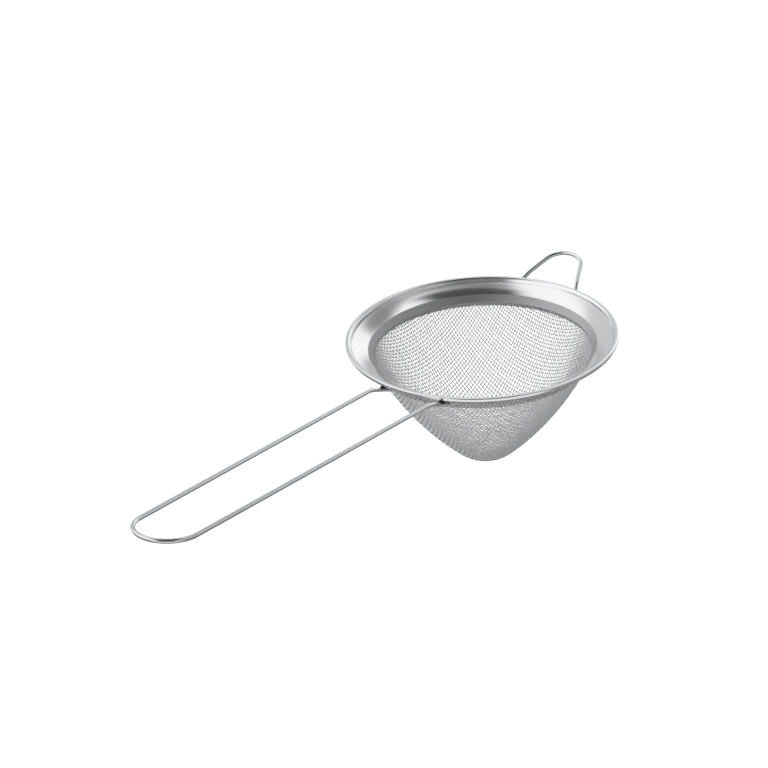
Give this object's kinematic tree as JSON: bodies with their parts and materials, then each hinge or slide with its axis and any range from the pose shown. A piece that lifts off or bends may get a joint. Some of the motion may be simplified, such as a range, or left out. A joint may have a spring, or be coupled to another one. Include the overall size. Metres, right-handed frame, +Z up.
{
  "type": "conical strainer",
  "caption": "Small conical wire-cloth strainer: polished pressed rim collar with a rolled lip, long hairpin wire handle welded under the rim, and a bent-wire rest ear opposite.",
  "frame": {"origin": "on the cone's axis, half-way up the hem band that stands in a ring, a glass or a funnel", "axes": "+Z up along the cone's axis, out of its mouth; the handle points along -X and the rest ear along +X; the object is symmetric about Y = 0"},
  "size_m": [0.2246, 0.085, 0.0613],
  "materials": {
    "collar_steel": "pressed stainless sheet, buffed to a mirror, with faint circular buffing lines",
    "cloth_steel": "plain-woven stainless wire, drawn and annealed, satin",
    "hoop_steel": "flat stainless strip, mill finish, slightly dulled",
    "wire_steel": "bright drawn round wire with fine drawing lines along it",
    "weld_steel": "heat-darkened spot weld metal"
  },
  "bodies": {
    "root": {"rim_collar": "collar_steel", "mesh_cone": "cloth_steel", "clamp_hoop": "hoop_steel", "handle_wire": "wire_steel", "rest_ear": "wire_steel", "handle_weld_left": "weld_steel", "handle_weld_right": "weld_steel", "ear_weld_left": "weld_steel", "ear_weld_right": "weld_steel"}
  },
  "joints": []
}
